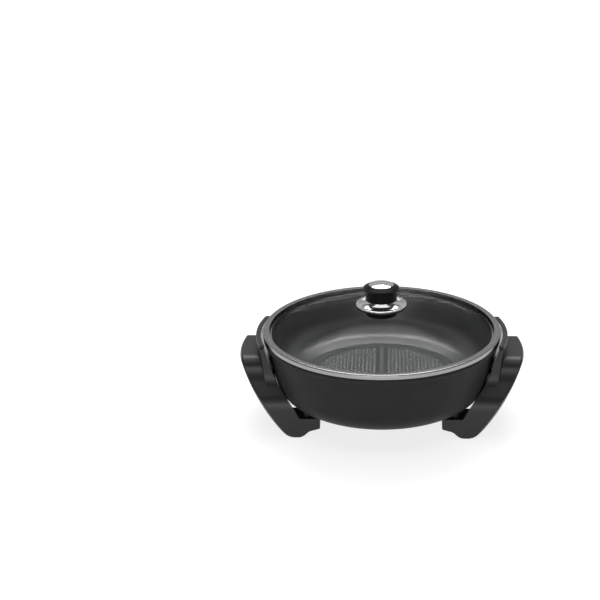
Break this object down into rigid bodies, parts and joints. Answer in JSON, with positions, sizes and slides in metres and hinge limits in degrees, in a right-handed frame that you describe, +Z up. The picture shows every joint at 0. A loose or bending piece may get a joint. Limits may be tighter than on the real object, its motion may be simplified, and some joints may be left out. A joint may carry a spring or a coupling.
{
  "type": "electric skillet",
  "caption": "Round electric skillet: coated bowl in a painted shell on moulded handle-legs, with an inlet for a plug-in thermostat and a lift-off domed glass lid with a knob.",
  "frame": {"origin": "on the table under the axis of the bowl", "axes": "+Z up along the bowl's axis, handle-legs along X with the thermostat inlet on the +X side, front towards -Y"},
  "size_m": [0.3884, 0.324, 0.197],
  "materials": {
    "nonstick": "cast, dark satin non-stick coating",
    "shell_paint": "satin black paint",
    "black_plastic": "satin black heat-resistant moulding",
    "knob_plastic": "black moulding",
    "rubber": "matt",
    "steel": "plain",
    "band_steel": "satin",
    "element_sheath": "dull grey sheath",
    "cutout_can": "plain",
    "chrome": "polished",
    "brass": "plain",
    "lid_glass": "clear tempered"
  },
  "bodies": {
    "pan": {"inner_pan": "nonstick", "outer_shell": "shell_paint", "bottom_cover": "shell_paint", "cover_screws": "steel", "heating_element": "element_sheath", "element_clips": "steel", "clip_screws": "steel", "thermal_cutout": "cutout_can", "cutout_screws": "steel", "probe_sleeve": "steel", "terminal_pins": "steel", "socket_housing": "black_plastic", "socket_screws": "steel", "right_handle_leg": "black_plastic", "left_handle_leg": "black_plastic", "right_rim_guard": "black_plastic", "left_rim_guard": "black_plastic", "leg_bosses": "shell_paint", "leg_screws": "steel", "foot_pads": "rubber"},
    "lid": {"lid_band": "band_steel", "lid_glass": "lid_glass", "knob_gasket": "rubber", "knob_skirt": "chrome", "knob_grip": "knob_plastic", "knob_cap": "chrome", "knob_insert": "brass", "knob_washer": "knob_plastic", "knob_screw": "steel"}
  },
  "joints": [
    {"name": "lid_lift", "type": "slide", "parent": "pan", "child": "lid", "axis": [0, 0, 1], "range_m": [0, 0.12]}
  ]
}
